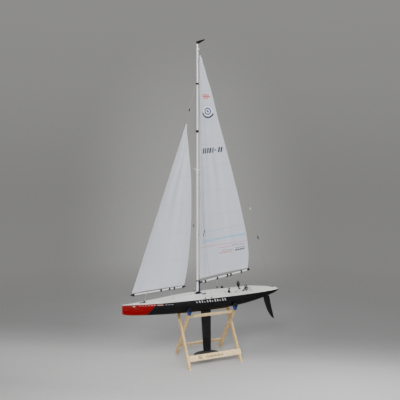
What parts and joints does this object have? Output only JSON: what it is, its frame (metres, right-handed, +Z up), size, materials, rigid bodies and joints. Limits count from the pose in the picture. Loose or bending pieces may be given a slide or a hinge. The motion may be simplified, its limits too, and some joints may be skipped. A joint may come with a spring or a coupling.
{
  "type": "radio-controlled model sailboat",
  "caption": "Radio-controlled racing sailboat with a main and a jib, a deep bulb keel and a rudder, on a folding wooden display stand.",
  "frame": {"origin": "on the floor under the middle of the hull, midway between the stand's feet", "axes": "+X towards the bow, +Y to port, +Z up along the mast"},
  "size_m": [1, 0.297, 1.893],
  "materials": {
    "hull_gelcoat": "high-gloss moulded hull, black with a deep red bow",
    "deck_white": "satin off-white moulded deck",
    "keel_black": "satin black paint on a moulded foil",
    "bulb_black": "black painted cast ballast",
    "inner_plastic": "plain black plastic",
    "black_nylon": "moulded glass-filled nylon",
    "servo_case": "fine-textured black case",
    "battery_wrap": "shrink-wrapped cells",
    "plywood": "thin birch plywood",
    "steel": "stainless steel",
    "brass": "drawn tube",
    "mast_alloy": "bright anodised tube",
    "blue_alloy": "dark blue anodised tube",
    "rig_wire": "fine coated wire",
    "sheet_line": "braided line",
    "sailcloth": "thin crisp translucent sailcloth",
    "pine": "clear lacquered pine",
    "blue_foam": "soft foam sleeve"
  },
  "bodies": {
    "stand_outer_frame": {"stand_outer_leg_aft": "pine", "stand_outer_leg_fore": "pine", "stand_board": "pine", "stand_outer_top_rail": "pine", "stand_outer_pads": "blue_foam", "stand_pivot_bolts": "steel"},
    "stand_inner_frame": {"stand_inner_leg_aft": "pine", "stand_inner_leg_fore": "pine", "stand_inner_low_rail": "pine", "stand_inner_top_rail": "pine", "stand_inner_pads": "blue_foam"},
    "boat": {"hull": "hull_gelcoat", "deck": "deck_white", "keel_fin": "keel_black", "keel_bulb": "bulb_black", "keel_trunk": "inner_plastic", "keel_bolt": "steel", "rudder_tube": "brass", "rudder_servo": "servo_case", "radio_tray": "plywood", "sail_winch": "servo_case", "receiver": "servo_case", "battery_pack": "battery_wrap", "power_switch": "black_nylon", "deck_eyelets": "black_nylon", "deck_winches": "black_nylon", "chainplates": "black_nylon", "jib_deck_plate": "black_nylon", "helm_pedestals": "black_nylon", "mast_step": "black_nylon", "mast_lower": "mast_alloy", "mast_upper": "mast_alloy", "mast_joiner": "mast_alloy", "spreaders": "mast_alloy", "gooseneck_bracket": "black_nylon", "gooseneck_post": "blue_alloy", "mast_fittings": "black_nylon", "masthead_crane": "black_nylon", "standing_rigging": "rig_wire", "stay_adjusters": "black_nylon", "luff_wire": "rig_wire"},
    "main_rig": {"main_sail": "sailcloth", "main_boom": "mast_alloy", "boom_gooseneck": "black_nylon", "main_boom_fittings": "black_nylon", "main_sheet": "sheet_line"},
    "jib_rig": {"jib_sail": "sailcloth", "jib_boom": "mast_alloy", "jib_boom_fittings": "black_nylon", "jib_swivel": "black_nylon", "jib_lines": "sheet_line"},
    "rudder_assembly": {"rudder": "keel_black", "tiller_arm": "black_nylon"},
    "servo_arm": {"servo_horn": "black_nylon"},
    "rudder_link": {"rudder_pushrod": "steel"},
    "sheet_drum": {"winch_drum": "black_nylon"},
    "hatch": {"hatch_cover": "deck_white"},
    "switch_slider": {"switch_knob": "black_nylon"},
    "port_helm": {"port_helm_wheel": "black_nylon"},
    "starboard_helm": {"starboard_helm_wheel": "black_nylon"}
  },
  "joints": [
    {"name": "boat_lift", "type": "slide", "parent": "stand_outer_frame", "child": "boat", "axis": [0, 0, 1], "range_m": [0, 1.3]},
    {"name": "stand_fold", "type": "hinge", "parent": "stand_outer_frame", "child": "stand_inner_frame", "pos_m": [0, 0, 0.196], "axis": [1, 0, 0], "range_deg": [0, 66]},
    {"name": "main_boom_swing", "type": "hinge", "parent": "boat", "child": "main_rig", "pos_m": [0.03, 0, 0.467], "axis": [0, 0, 1], "range_deg": [-64, 36]},
    {"name": "jib_boom_swing", "type": "hinge", "parent": "boat", "child": "jib_rig", "pos_m": [0.371, 0, 0.386], "axis": [-0.2489, 0, 0.9685], "range_deg": [-64, 36]},
    {"name": "rudder_turn", "type": "hinge", "parent": "boat", "child": "rudder_assembly", "pos_m": [-0.421, 0, 0.343], "axis": [0.2419, 0, 0.9703], "range_deg": [-35, 35]},
    {"name": "servo_arm_turn", "type": "hinge", "parent": "boat", "child": "servo_arm", "pos_m": [-0.318, 0, 0.374], "axis": [0, 0, 1], "range_deg": [-35, 35]},
    {"name": "pushrod_travel", "type": "slide", "parent": "boat", "child": "rudder_link", "axis": [1, 0, 0], "range_m": [-0.009, 0.009]},
    {"name": "winch_turn", "type": "hinge", "parent": "boat", "child": "sheet_drum", "pos_m": [-0.196, 0, 0.376], "axis": [0, 0, 1], "range_deg": [-900, 900]},
    {"name": "hatch_slide", "type": "slide", "parent": "boat", "child": "hatch", "axis": [-0.9998, 0, 0.02], "range_m": [0, 0.088]},
    {"name": "switch_slide", "type": "slide", "parent": "boat", "child": "switch_slider", "axis": [1, 0, 0], "range_m": [0, 0.005]},
    {"name": "port_helm_turn", "type": "hinge", "parent": "boat", "child": "port_helm", "pos_m": [-0.2572, 0.053, 0.419], "axis": [1, 0, 0], "continuous": true},
    {"name": "starboard_helm_turn", "type": "hinge", "parent": "boat", "child": "starboard_helm", "pos_m": [-0.2572, -0.053, 0.419], "axis": [1, 0, 0], "continuous": true}
  ],
  "couplings": [
    {"joint": "stand_fold", "follows": "boat_lift", "rad_per_m": 0.88609},
    {"joint": "jib_boom_swing", "follows": "main_boom_swing", "ratio": 1},
    {"joint": "servo_arm_turn", "follows": "rudder_turn", "ratio": 1},
    {"joint": "pushrod_travel", "follows": "rudder_turn", "m_per_rad": -0.014}
  ]
}
